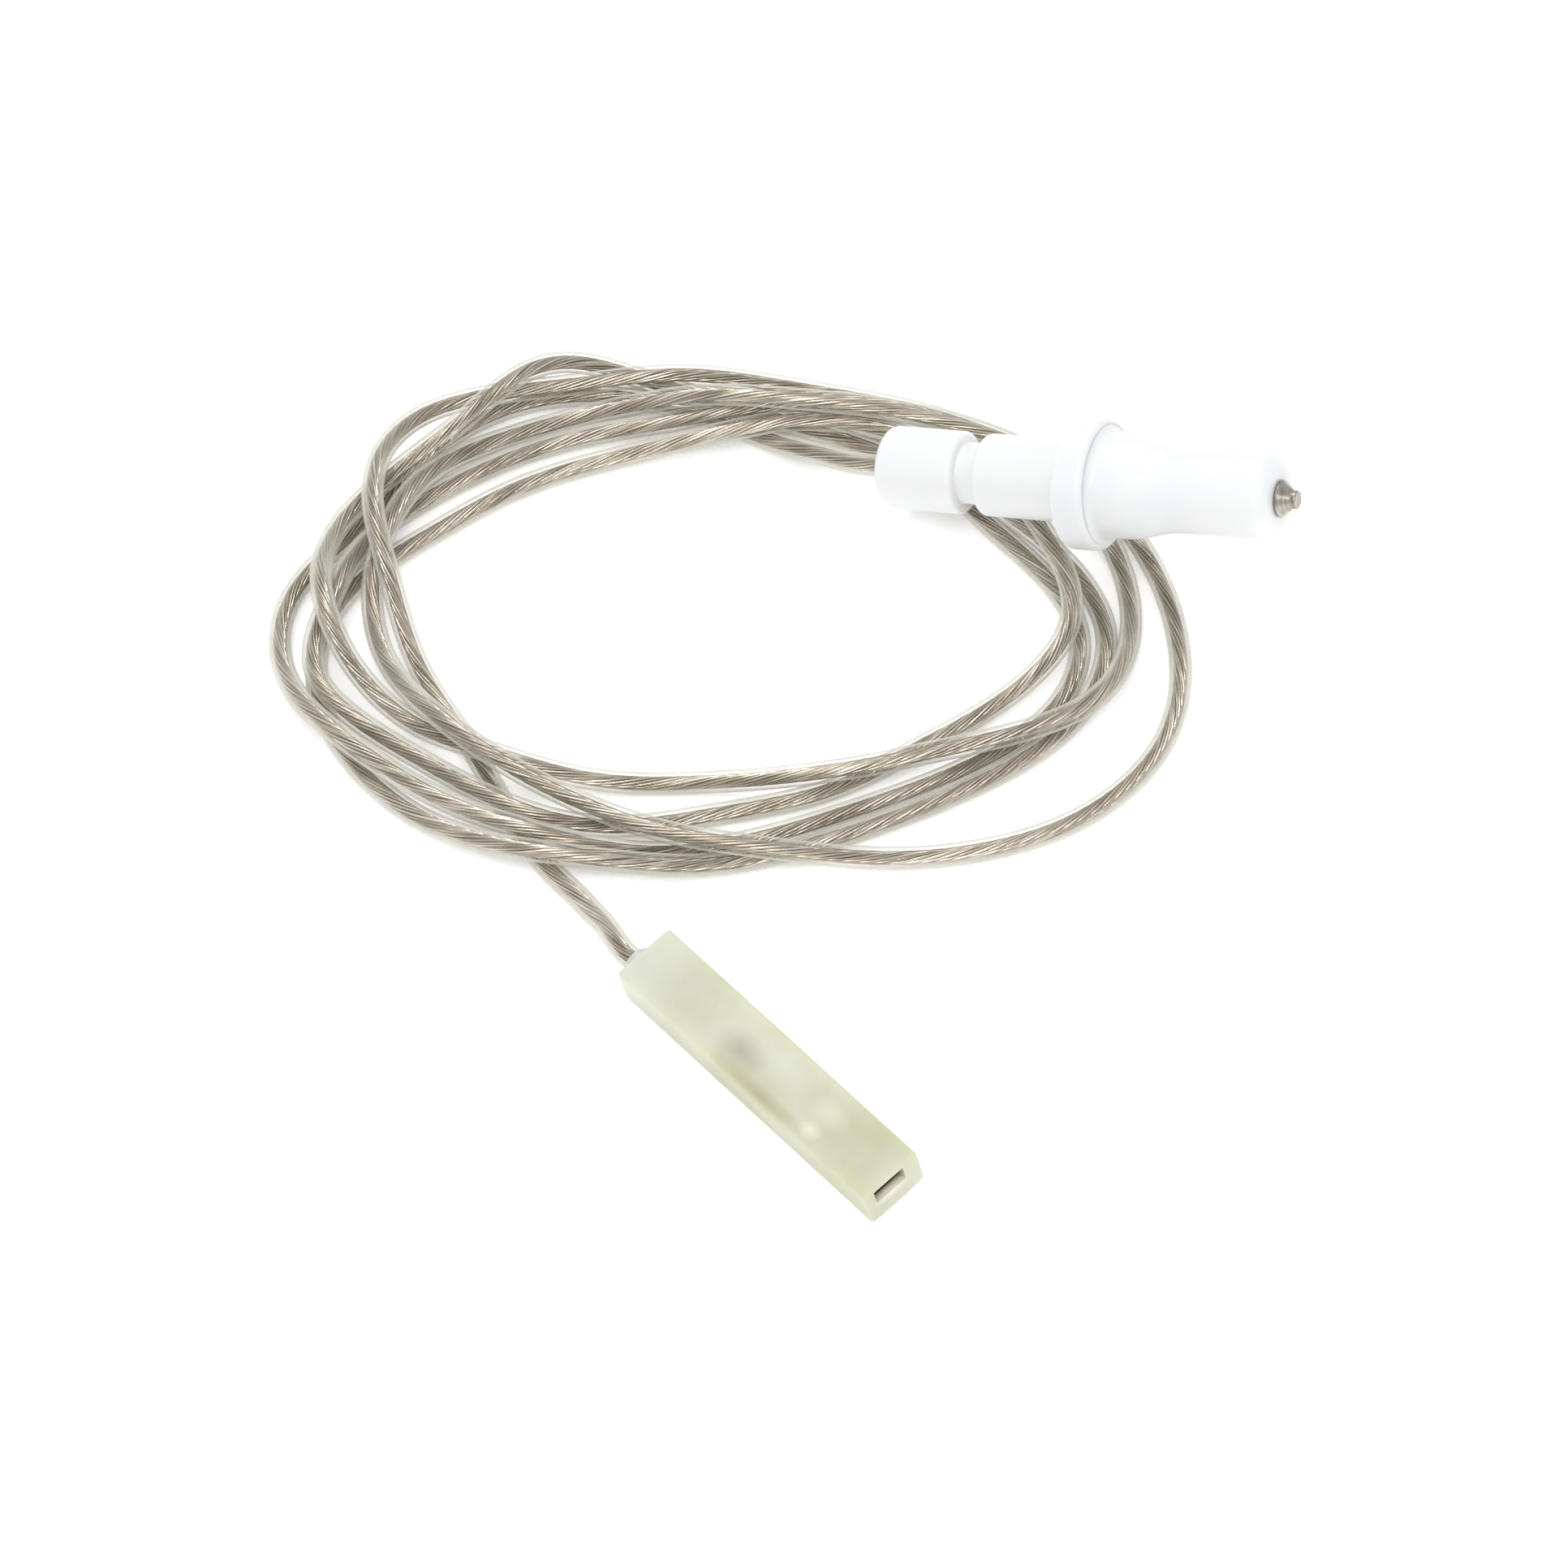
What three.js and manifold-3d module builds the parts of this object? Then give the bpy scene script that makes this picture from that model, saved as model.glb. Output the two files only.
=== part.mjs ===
// Ignition electrode of a gas burner: a stepped ceramic insulator with a steel pin, a sheathed
// high-voltage lead lying in a loose oval coil, and a nylon female connector on its far end.
// Millimetres, +Z up. The electrode's axis lies in the XZ plane with its tip raised, heading +X,
// and the origin is the centre of the electrode's box. The lead and the connector lie on the
// plane that the electrode rests over.
import * as THREE from "three";
import { mergeVertices } from "three/addons/utils/BufferGeometryUtils.js";
import Module from "manifold-3d";

const wasm = await Module();
wasm.setup();

const rad = THREE.MathUtils.degToRad;

// ---- driving dimensions ----
const GAP = 0.3; // clearance that every touching pair keeps
const TURN_SEGMENTS = 40; // facets round a turned piece

// Places along the ceramic are measured from its rear face.
const TAIL = { radius: 3.85, end: 8, edge: 1 };
const GROOVE = { radius: 2.85, end: 10 };
const MIDDLE = { radius: 3.825, end: 19, edge: 0.6 };
const FLANGE = { radius: 6.175, end: 22.3, edge: 0.45 };
const SHOULDER = { radius: 4.85, fillet: 0.8, end: 24.6 };
const NOSE = { start: 30.2, radius: 3.95, frontRadius: 4.08, end: 39.4, edge: 1.45 };
const POCKET = { radius: 2.2, depth: 3.5 };
const LEAD_BORE = { radius: 1.5, end: 28 };
const PIN_BORE = { radius: 0.95 };

const PIN = { shankRadius: 0.65, rear: 24.4, headRadius: 1.725, nibRadius: 0.875 };
const PIN_HEAD = { seat: 0.15, rim: 0.2, cone: 0.95, nib: 0.5, nibEdge: 0.12 };
const SLEEVE = { inner: 0.95, outer: 1.2, start: 20, end: 27.7 };
const CEMENT = { inner: 1.35, outer: 1.9, start: 0.3, end: 3.1 };

const LEAD = { radius: 1.05, conductor: 0.45, sides: 8 };
const JACKET_BORE = LEAD.conductor + GAP;
const TAIL_JACKET_END = 18;
const TAIL_CONDUCTOR_END = 23.8;

const ELECTRODE_TILT = rad(16.2);
const TAIL_HEIGHT = 5.84; // centre of the ceramic's rear face above the resting plane

// The coil's outer shape: a flat oval ring that the lead's turns fill.
const COIL = { x: -9.4, y: -19.2, halfLength: 36, halfWidth: 27, turn: rad(18), band: 0.165 };
const COIL_HEIGHT = 3.6;
const COIL_EDGE = 0.5;
const COIL_SEGMENTS = 56;

const HOUSING = { length: 33, width: 6.2, height: 4.6, edge: 0.35 };
const HOUSING_PLACE = { x: 0.6, y: -60.68, heading: rad(-27.5), roll: rad(13.4) };
const CAVITY = { start: 4.5, end: 32, width: 4.8, height: 3.4 };
const MOUTH = { width: 3.4, low: 0.1, high: 1.95, y: -0.35 };
const ENTRY = { y: -0.7, z: 0.25, radius: 1.4, bossRadius: 1.6, boss: 0.7 };
const TERMINAL = { sheet: 0.3, floor: -1.4, y: -0.35 };
// The receptacle stands higher than the crimps, level with the mouth.
const RECEPTACLE = { start: 23, end: 31.6, width: 4, floor: -0.6, height: 2, lip: 1.25 };
const WIRE_CRIMP = { start: 17.6, end: 21.4, wall: 0.3 };
const JACKET_CRIMP = { start: 12, end: 16.4, wing: 2 };
const NECK_WIDTH = 1.6;
const CONNECTOR_JACKET_END = 16.6;
const CONNECTOR_CONDUCTOR_END = 21.8;

// The lead's two free stretches, from the tail to the coil and from the coil to the connector:
// places on the lead's centreline, with the height above the resting plane last.
const ELECTRODE_RUN = [
  [-2.6, 0.1, 5.02],
  [-4.8, 0.6, 4.2],
  [-7.4, 1.5, 3.1],
  [-10.6, 2.3, 2.0],
];
const CONNECTOR_RUN = [
  [-12.1, -52.7, 1.1],
  [-9.0, -54.5, 1.25],
  [-6.7, -56.1, 1.65],
  [-4.5, -57.8, 2.3],
];

// ---- materials ----
const material = (color, roughness, metalness = 0) =>
  new THREE.MeshStandardMaterial({ color, roughness, metalness });
const glazedCeramic = material(0xf6f7f6, 0.15);
const groundSteel = material(0x9c958c, 0.35, 1);
const plainSteel = material(0xa8a8a8, 0.45, 1);
const cement = material(0xe6e2d8, 0.9);
const tinnedCopper = material(0xb9ad9b, 0.4, 1);
const leadJacket = material(0xcfc8ba, 0.3);
const nylon = material(0xdfe1c6, 0.4);
const brass = material(0xc9a55a, 0.35, 1);

// ---- shape helpers ----
function piece(name, geometry, look) {
  const mesh = new THREE.Mesh(geometry, look);
  mesh.name = name;
  return mesh;
}

// A turned solid about +X, from an outline of (radius, place along the axis).
function turned(outline, segments = TURN_SEGMENTS) {
  return new THREE.LatheGeometry(outline, segments).rotateZ(-Math.PI / 2);
}

function ringOutline(inner, outer, start, end) {
  const corners = [[inner, start], [outer, start], [outer, end], [inner, end], [inner, start]];
  return corners.map(([radius, along]) => new THREE.Vector2(radius, along));
}

function tubeAlong(places, radius, sides) {
  const section = new THREE.Shape();
  section.absarc(0, 0, radius, 0, 2 * Math.PI, false);
  const path = new THREE.CatmullRomCurve3(places, false, "centripetal");
  const steps = Math.ceil(path.getLength() / (2.5 * 2 * radius)) + 3;
  return new THREE.ExtrudeGeometry(section, {
    steps, curveSegments: sides, bevelEnabled: false, extrudePath: path,
  });
}

function toSolid(geometry) {
  const bare = geometry.clone();
  bare.deleteAttribute("normal");
  bare.deleteAttribute("uv");
  const merged = mergeVertices(bare, 1e-4);
  const mesh = new wasm.Mesh({
    numProp: 3,
    vertProperties: new Float32Array(merged.attributes.position.array),
    triVerts: new Uint32Array(merged.index.array),
  });
  return new wasm.Manifold(mesh);
}

function toGeometry(solid) {
  const mesh = solid.getMesh();
  const geometry = new THREE.BufferGeometry();
  geometry.setAttribute("position", new THREE.BufferAttribute(mesh.vertProperties, 3));
  geometry.setIndex(new THREE.BufferAttribute(mesh.triVerts, 1));
  geometry.computeVertexNormals();
  return geometry;
}

// A block between two corners, [x, y, z] each.
function block(low, high) {
  const size = high.map((value, axis) => value - low[axis]);
  const middle = high.map((value, axis) => (value + low[axis]) / 2);
  return new THREE.BoxGeometry(...size).translate(...middle);
}

// A round bar along +X through (y, z).
function bar(radius, start, end, y, z, segments = 20) {
  const shape = new THREE.CylinderGeometry(radius, radius, end - start, segments);
  return shape.rotateZ(-Math.PI / 2).translate((start + end) / 2, y, z);
}

// ---- the electrode ----
function ceramicOutline() {
  const flangeFillet = SHOULDER.radius + SHOULDER.fillet;
  const outline = new THREE.Path();
  outline.moveTo(POCKET.radius, 0);
  outline.lineTo(TAIL.radius - TAIL.edge, 0);
  outline.absarc(TAIL.radius - TAIL.edge, TAIL.edge, TAIL.edge, rad(-90), 0, false);
  outline.lineTo(TAIL.radius, TAIL.end);
  outline.lineTo(GROOVE.radius, TAIL.end);
  outline.lineTo(GROOVE.radius, GROOVE.end);
  outline.lineTo(MIDDLE.radius - MIDDLE.edge, GROOVE.end);
  outline.absarc(
    MIDDLE.radius - MIDDLE.edge, GROOVE.end + MIDDLE.edge, MIDDLE.edge, rad(-90), 0, false);
  outline.lineTo(MIDDLE.radius, MIDDLE.end);
  outline.lineTo(FLANGE.radius - FLANGE.edge, MIDDLE.end);
  outline.absarc(
    FLANGE.radius - FLANGE.edge, MIDDLE.end + FLANGE.edge, FLANGE.edge, rad(-90), 0, false);
  outline.absarc(
    FLANGE.radius - FLANGE.edge, FLANGE.end - FLANGE.edge, FLANGE.edge, 0, rad(90), false);
  outline.lineTo(flangeFillet, FLANGE.end);
  outline.absarc(
    flangeFillet, FLANGE.end + SHOULDER.fillet, SHOULDER.fillet, rad(-90), rad(-180), true);
  outline.lineTo(SHOULDER.radius, SHOULDER.end);
  const taper = (NOSE.start - SHOULDER.end) * 0.42;
  outline.bezierCurveTo(
    SHOULDER.radius, SHOULDER.end + taper, NOSE.radius, NOSE.start - taper,
    NOSE.radius, NOSE.start);
  outline.lineTo(NOSE.frontRadius, NOSE.end - NOSE.edge);
  outline.absarc(
    NOSE.frontRadius - NOSE.edge, NOSE.end - NOSE.edge, NOSE.edge, 0, rad(90), false);
  outline.lineTo(PIN_BORE.radius, NOSE.end);
  outline.lineTo(PIN_BORE.radius, LEAD_BORE.end);
  outline.lineTo(LEAD_BORE.radius, LEAD_BORE.end);
  outline.lineTo(LEAD_BORE.radius, POCKET.depth);
  outline.lineTo(POCKET.radius, POCKET.depth);
  outline.lineTo(POCKET.radius, 0);
  return outline.getPoints(3);
}

function pinOutline() {
  const seat = NOSE.end + PIN_HEAD.seat;
  const coneStart = seat + PIN_HEAD.rim;
  const coneEnd = coneStart + PIN_HEAD.cone;
  const tip = coneEnd + PIN_HEAD.nib;
  const corners = [
    [0, PIN.rear],
    [PIN.shankRadius, PIN.rear],
    [PIN.shankRadius, seat],
    [PIN.headRadius, seat],
    [PIN.headRadius, coneStart],
    [PIN.nibRadius, coneEnd],
    [PIN.nibRadius, tip - PIN_HEAD.nibEdge],
    [PIN.nibRadius - PIN_HEAD.nibEdge, tip],
    [0, tip],
  ];
  return corners.map(([radius, along]) => new THREE.Vector2(radius, along));
}

function makeElectrode() {
  const group = new THREE.Group();
  const jacket = ringOutline(JACKET_BORE, LEAD.radius, 0, TAIL_JACKET_END);
  const conductor = bar(LEAD.conductor, 0, TAIL_CONDUCTOR_END, 0, 0, 12);
  const sleeve = ringOutline(SLEEVE.inner, SLEEVE.outer, SLEEVE.start, SLEEVE.end);
  const plug = ringOutline(CEMENT.inner, CEMENT.outer, CEMENT.start, CEMENT.end);
  group.add(
    piece("ceramic_insulator", turned(ceramicOutline()), glazedCeramic),
    piece("electrode_pin", turned(pinOutline(), 24), groundSteel),
    piece("crimp_sleeve", turned(sleeve, 20), plainSteel),
    piece("tail_cement", turned(plug, 24), cement),
    piece("tail_jacket", turned(jacket, 16), leadJacket),
    piece("tail_conductor", conductor, tinnedCopper),
  );
  group.rotation.y = -ELECTRODE_TILT;
  group.position.z = TAIL_HEIGHT;
  return group;
}

// ---- the connector ----
function roundedRectangle(width, height, edge) {
  const shape = new THREE.Shape();
  const w = width / 2;
  const h = height / 2;
  shape.moveTo(-w + edge, -h);
  shape.lineTo(w - edge, -h);
  shape.absarc(w - edge, -h + edge, edge, rad(-90), 0, false);
  shape.absarc(w - edge, h - edge, edge, 0, rad(90), false);
  shape.absarc(-w + edge, h - edge, edge, rad(90), rad(180), false);
  shape.absarc(-w + edge, -h + edge, edge, rad(180), rad(270), false);
  return shape;
}

// A shape drawn in (y, z), extruded along +X.
function alongX(shape, start, end) {
  const geometry = new THREE.ExtrudeGeometry(shape, {
    depth: end - start, curveSegments: 3, bevelEnabled: false,
  });
  const turn = new THREE.Matrix4().set(0, 0, 1, start, 1, 0, 0, 0, 0, 1, 0, 0, 0, 0, 0, 1);
  return geometry.applyMatrix4(turn);
}

function makeHousing() {
  const outline = roundedRectangle(HOUSING.width, HOUSING.height, HOUSING.edge);
  const body = toSolid(alongX(outline, 0, HOUSING.length));
  const boss = toSolid(bar(ENTRY.bossRadius, -ENTRY.boss, 1, ENTRY.y, ENTRY.z));
  const cavity = toSolid(block(
    [CAVITY.start, -CAVITY.width / 2, -CAVITY.height / 2],
    [CAVITY.end, CAVITY.width / 2, CAVITY.height / 2]));
  const entry = toSolid(bar(ENTRY.radius, -2, CAVITY.start + 1, ENTRY.y, ENTRY.z));
  const mouth = toSolid(block(
    [CAVITY.end - 1, MOUTH.y - MOUTH.width / 2, MOUTH.low],
    [HOUSING.length + 1, MOUTH.y + MOUTH.width / 2, MOUTH.high]));
  return toGeometry(body.add(boss).subtract(cavity).subtract(entry).subtract(mouth));
}

// The sheet-brass terminal: a receptacle rolled round the tab, a neck, and two crimps.
function makeTerminal() {
  const { sheet, floor, y } = TERMINAL;
  const seat = RECEPTACLE.floor;
  const top = seat + RECEPTACLE.height;
  const side = RECEPTACLE.width / 2;
  const strip = (start, end, halfWidth, centre, low = floor) =>
    block([start, centre - halfWidth, low], [end, centre + halfWidth, low + sheet]);
  const wall = (start, end, inner, high, low = floor) =>
    block([start, inner, low], [end, inner + sheet, high]);
  const parts = [
    strip(RECEPTACLE.start, RECEPTACLE.end, side, y, seat),
    wall(RECEPTACLE.start, RECEPTACLE.end, y - side, top, seat),
    wall(RECEPTACLE.start, RECEPTACLE.end, y + side - sheet, top, seat),
    block([RECEPTACLE.start, y - side, top - sheet],
      [RECEPTACLE.end, y - side + RECEPTACLE.lip, top]),
    block([RECEPTACLE.start, y + side - RECEPTACLE.lip, top - sheet],
      [RECEPTACLE.end, y + side, top]),
    strip(WIRE_CRIMP.end - 0.1, RECEPTACLE.start + sheet, NECK_WIDTH / 2, y),
    block([RECEPTACLE.start, y - NECK_WIDTH / 2, floor],
      [RECEPTACLE.start + sheet, y + NECK_WIDTH / 2, seat + sheet]),
    block([JACKET_CRIMP.end - 0.1, ENTRY.y - NECK_WIDTH / 2, floor],
      [WIRE_CRIMP.end, ENTRY.y + NECK_WIDTH / 2, floor + sheet]),
    strip(JACKET_CRIMP.start, JACKET_CRIMP.end, LEAD.radius + GAP + sheet, ENTRY.y),
    wall(JACKET_CRIMP.start, JACKET_CRIMP.end, ENTRY.y + LEAD.radius + GAP,
      floor + JACKET_CRIMP.wing),
    wall(JACKET_CRIMP.start, JACKET_CRIMP.end, ENTRY.y - LEAD.radius - GAP - sheet,
      floor + JACKET_CRIMP.wing),
  ];
  const barrel = toSolid(bar(
    LEAD.conductor + GAP + WIRE_CRIMP.wall, WIRE_CRIMP.start, WIRE_CRIMP.end, ENTRY.y, ENTRY.z));
  const barrelFoot = toSolid(block(
    [WIRE_CRIMP.start, ENTRY.y - NECK_WIDTH / 2, floor],
    [WIRE_CRIMP.end, ENTRY.y + NECK_WIDTH / 2, ENTRY.z - LEAD.conductor - GAP]));
  const wireHole = toSolid(bar(
    LEAD.conductor + GAP, WIRE_CRIMP.start - 1, WIRE_CRIMP.end + 1, ENTRY.y, ENTRY.z));
  const sheetParts = parts.map(toSolid).reduce((whole, part) => whole.add(part));
  return toGeometry(sheetParts.add(barrelFoot).add(barrel).subtract(wireHole));
}

function makeConnector() {
  const group = new THREE.Group();
  const jacket = turned(ringOutline(JACKET_BORE, LEAD.radius, 0, CONNECTOR_JACKET_END), 16);
  jacket.translate(0, ENTRY.y, ENTRY.z);
  const conductor = bar(LEAD.conductor, 0, CONNECTOR_CONDUCTOR_END, ENTRY.y, ENTRY.z, 12);
  group.add(
    piece("connector_housing", makeHousing(), nylon),
    piece("receptacle_terminal", makeTerminal(), brass),
    piece("connector_jacket", jacket, leadJacket),
    piece("connector_conductor", conductor, tinnedCopper),
  );
  group.rotation.set(HOUSING_PLACE.roll, 0, HOUSING_PLACE.heading, "ZYX");
  // The rolled housing stands on its lower left edge.
  const { height, width, edge } = HOUSING;
  const corner = { y: width / 2 - edge, z: height / 2 - edge };
  const rise = corner.y * Math.sin(HOUSING_PLACE.roll) + corner.z * Math.cos(HOUSING_PLACE.roll);
  group.position.set(HOUSING_PLACE.x, HOUSING_PLACE.y, rise + edge);
  group.updateMatrixWorld(true);
  return group;
}

// ---- the lead ----
function coilOutline() {
  const outline = new THREE.Path();
  const inner = 1 - COIL.band;
  const outer = 1 + COIL.band;
  const edge = COIL_EDGE / COIL.halfWidth;
  outline.moveTo(inner, 0);
  outline.lineTo(outer, 0);
  outline.lineTo(outer, COIL_HEIGHT - COIL_EDGE);
  outline.quadraticCurveTo(outer, COIL_HEIGHT, outer - 2 * edge, COIL_HEIGHT);
  outline.lineTo(inner + 2 * edge, COIL_HEIGHT);
  outline.quadraticCurveTo(inner, COIL_HEIGHT, inner, COIL_HEIGHT - COIL_EDGE);
  outline.lineTo(inner, 0);
  return outline.getPoints(2);
}

function makeCoil() {
  const ring = new THREE.LatheGeometry(coilOutline(), COIL_SEGMENTS).rotateX(Math.PI / 2);
  ring.scale(COIL.halfLength, COIL.halfWidth, 1);
  const coil = piece("lead_coil", ring, leadJacket);
  coil.rotation.z = COIL.turn;
  coil.position.set(COIL.x, COIL.y, 0);
  return coil;
}

function makeLead(connector) {
  const group = new THREE.Group();
  const behindTail = (distance) => new THREE.Vector3(
    -distance * Math.cos(ELECTRODE_TILT), 0, TAIL_HEIGHT - distance * Math.sin(ELECTRODE_TILT));
  const beforeEntry = (distance) =>
    connector.localToWorld(new THREE.Vector3(-distance, ENTRY.y, ENTRY.z));
  const place = ([x, y, z]) => new THREE.Vector3(x, y, z);
  const electrodeRun = [behindTail(GAP), ...ELECTRODE_RUN.map(place)];
  const connectorRun = [...CONNECTOR_RUN.map(place), beforeEntry(2.6), beforeEntry(GAP)];
  group.add(
    piece("lead_electrode_run", tubeAlong(electrodeRun, LEAD.radius, LEAD.sides), leadJacket),
    makeCoil(),
    piece("lead_connector_run", tubeAlong(connectorRun, LEAD.radius, LEAD.sides), leadJacket),
  );
  return group;
}

// ---- assembly ----
const electrode = makeElectrode();
const connector = makeConnector();
const assembly = new THREE.Group();
assembly.add(electrode, makeLead(connector), connector);

// The origin moves to the centre of the electrode's box.
electrode.updateMatrixWorld(true);
const electrodeBox = new THREE.Box3().setFromObject(electrode, true);
assembly.position.copy(electrodeBox.getCenter(new THREE.Vector3()).negate());

export default assembly;
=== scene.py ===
"""Looks of a gas burner's ignition electrode: the glazed ceramic with its steel pin, the clear
sheathed lead in its loose coil, and the nylon connector. Metres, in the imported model's frame."""

import math

import bpy
import numpy as np
from mathutils import Matrix, Vector


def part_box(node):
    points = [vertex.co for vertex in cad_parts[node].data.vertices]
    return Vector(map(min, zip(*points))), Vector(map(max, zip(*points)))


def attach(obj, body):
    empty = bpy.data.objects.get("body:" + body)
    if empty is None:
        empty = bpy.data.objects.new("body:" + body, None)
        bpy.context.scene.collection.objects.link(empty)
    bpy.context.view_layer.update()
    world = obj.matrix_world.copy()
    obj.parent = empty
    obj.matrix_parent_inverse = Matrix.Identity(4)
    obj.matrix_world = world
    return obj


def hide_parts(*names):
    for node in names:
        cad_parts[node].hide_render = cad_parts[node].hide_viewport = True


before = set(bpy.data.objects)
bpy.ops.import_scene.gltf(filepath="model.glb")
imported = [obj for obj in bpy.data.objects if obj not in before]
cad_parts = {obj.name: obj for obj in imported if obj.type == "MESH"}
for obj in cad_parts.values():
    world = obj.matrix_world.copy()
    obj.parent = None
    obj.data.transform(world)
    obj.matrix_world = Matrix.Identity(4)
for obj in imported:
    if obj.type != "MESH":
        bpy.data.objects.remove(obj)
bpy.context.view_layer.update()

MM = 0.001
TINY = 1e-9  # keeps a division from being by nothing

# ---- driving dimensions, in millimetres, as in the CAD model ----
# The layout's own origin is on the resting plane, under the centre of the ceramic's rear face.
ELECTRODE_TILT = math.radians(16.2)
TAIL_HEIGHT = 5.84
COIL = {"x": -9.4, "y": -19.2, "half_length": 36, "half_width": 27, "turn": math.radians(18)}
LEAD_RADIUS = 1.05
CORE_RADIUS = 0.65  # the wires as they look through the sheath, which magnifies them
WIRES = 12  # wires seen round the outside of the twisted core
LAY_LENGTH = 17  # along the lead, for one turn of the twist

# How finely the lead is worked out and meshed.
ROUTE_SPACING = 1.0
SHEATH_SPACING = 0.8
SHEATH_SIDES = 32
WIRES_SPACING = 0.7
LOBE_SIDES = 5

# Places along the ceramic are measured from its rear face.
TAIL = {"radius": 3.85, "end": 8, "edge": 1.0}
GROOVE = {"radius": 2.85, "end": 10}
MIDDLE = {"radius": 3.825, "end": 19, "edge": 0.6}
FLANGE = {"radius": 6.175, "end": 22.3}
SHOULDER = {"radius": 4.85, "fillet": 0.8, "end": 24.6}
NOSE = {"start": 30.2, "radius": 3.95, "front_radius": 4.08, "end": 39.4, "edge": 1.45}
POCKET = {"radius": 2.2, "depth": 3.5}
LEAD_BORE = {"radius": 1.5, "end": 28}
PIN_BORE_RADIUS = 0.95
PIN = {"shank": 0.65, "rear": 24.4, "head": 1.725, "nib": 0.875}
PIN_HEAD = {"seat": 0.15, "rim": 0.2, "cone": 0.95, "nib": 0.5}
CEMENT = {"inner": 1.1, "outer": 2.15, "start": 0.25, "end": 3.4}
JACKET_IN_TAIL = 18  # how far the lead's sheath and its wires reach into the ceramic
CORE_IN_TAIL = 23.6

# Places along the connector are measured from its entry face, and y and z from its axis.
HOUSING = {"length": 33, "width": 6.2, "height": 4.6, "edge": 0.35}
HOUSING_PLACE = {"x": 0.6, "y": -60.68, "heading": math.radians(-27.5), "roll": math.radians(13.4)}
CAVITY = {"start": 4.5, "end": 32, "width": 4.8, "height": 3.4}
MOUTH = {"width": 3.4, "low": 0.1, "high": 1.95, "y": -0.35}
ENTRY = {"y": -0.7, "z": 0.25, "radius": 1.4, "boss_radius": 1.6, "boss": 0.7}
JACKET_IN_HOUSING = 16.6
CORE_IN_HOUSING = 21.6
TERMINAL_SHEET = 0.3
BRIDGE_FLOOR = -0.75  # heights of the sheet's middle
NECK_FLOOR = -1.25
RECEPTACLE_FLOOR = -0.45
SECTION_PLACES = 41  # points across the unfolded sheet, the same at every section

# The lead's free stretches, as in the CAD model.
ELECTRODE_RUN = [(-2.6, 0.1, 5.02), (-4.8, 0.6, 4.2), (-7.4, 1.5, 3.1), (-10.6, 2.3, 2.0)]
CONNECTOR_RUN = [(-12.1, -52.7, 1.1), (-9.0, -54.5, 1.25), (-6.7, -56.1, 1.65), (-4.5, -57.8, 2.3)]

# The coil: at each clock place the turn strays outward from the mean oval by so much, and
# passes so high over the lowest place. One row is one turn, from the first clock place on.
CLOCK_PLACES = 16
FIRST_PLACE = 4
STRAY = [
    [-3.5, 2.5, 2, 0, 3, 4.5, 4, 4, 1.5, -2.5, -3, -2, -2.5, -4.5, -4.5, -0.5],
    [-4, -3.5, -3, -2, -1, 2.5, 1, 1.5, -3.5, -6, -7.5, -6, -3, -3.5, -3, -2.5],
    [-5, -7, -7, -5.5, -1, 2.5, 5, 6, 3, 0, -1, 0, 0, -2.5, -5, -3.5],
    [-1, 4.5, 0, 0.5, 0.5, -0.5, -2.5, -5.5, -8, -6.5, -4.5, 0.5, 1.5, 2.5, 3, -2],
    [-3.5, -1, -1, -2.5, -3.5, -3.5, -2.5, -1, 1.5, 4, 7.5, 7.5, 5.5, 4.5, 4, 3],
    [2, 2, 4, -0.5, -5, -6, -4.5],
]
LIFT = [
    [0, 0, 0, 0, 0, 1, 1, 1, 0, 0, 0, 0, 0, 0, 0, 0],
    [1.5, 0, 0, 0, 0, 2, 0, 0.5, 0, 0, 0, 0, 0.5, 4, 1, 1],
    [2, 0, 0, 0, 0, 0, 0, 2, 0, 0, 0, 0, 0, 0, 2, 0],
    [0, 0, 1.5, 1.5, 3, 0, 0.5, 0, 0, 1.5, 1.5, 2, 0, 1, 1, 2],
    [2, 0, 0, 1.5, 0, 0, 2.5, 1, 2, 0, 0, 0, 0, 0, 0, 0],
    [1, 0.5, 0, 2.5, 1, 0, 0],
]
# From the last clock place to the free stretch: places on the lead's line.
COIL_EXIT = [(-19.0, -47.1, 1.05), (-15.9, -49.8, 1.05)]


# ---- places ----
def layout_origin():
    """Where the layout's origin is in the frame: the coil's box says it."""
    low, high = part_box("lead_coil")
    middle = (low + high) / 2
    return Vector((middle.x - COIL["x"] * MM, middle.y - COIL["y"] * MM, low.z))


ORIGIN = layout_origin()


def to_frame(points):
    """Layout points, in millimetres, as points of the frame, in metres."""
    return np.asarray(points, float) * MM + np.array(ORIGIN)


def electrode_matrix():
    """From the electrode's own axes, with its axis along +X, to the layout."""
    return Matrix.Translation((0, 0, TAIL_HEIGHT)) @ Matrix.Rotation(-ELECTRODE_TILT, 4, "Y")


def connector_matrix():
    """From the connector's own axes, with its length along +X, to the layout."""
    width, height, edge = HOUSING["width"], HOUSING["height"], HOUSING["edge"]
    roll = HOUSING_PLACE["roll"]
    rise = (width / 2 - edge) * math.sin(roll) + (height / 2 - edge) * math.cos(roll) + edge
    place = Matrix.Translation((HOUSING_PLACE["x"], HOUSING_PLACE["y"], rise))
    return place @ Matrix.Rotation(HOUSING_PLACE["heading"], 4, "Z") @ Matrix.Rotation(roll, 4, "X")


ELECTRODE = electrode_matrix()
CONNECTOR = connector_matrix()


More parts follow.
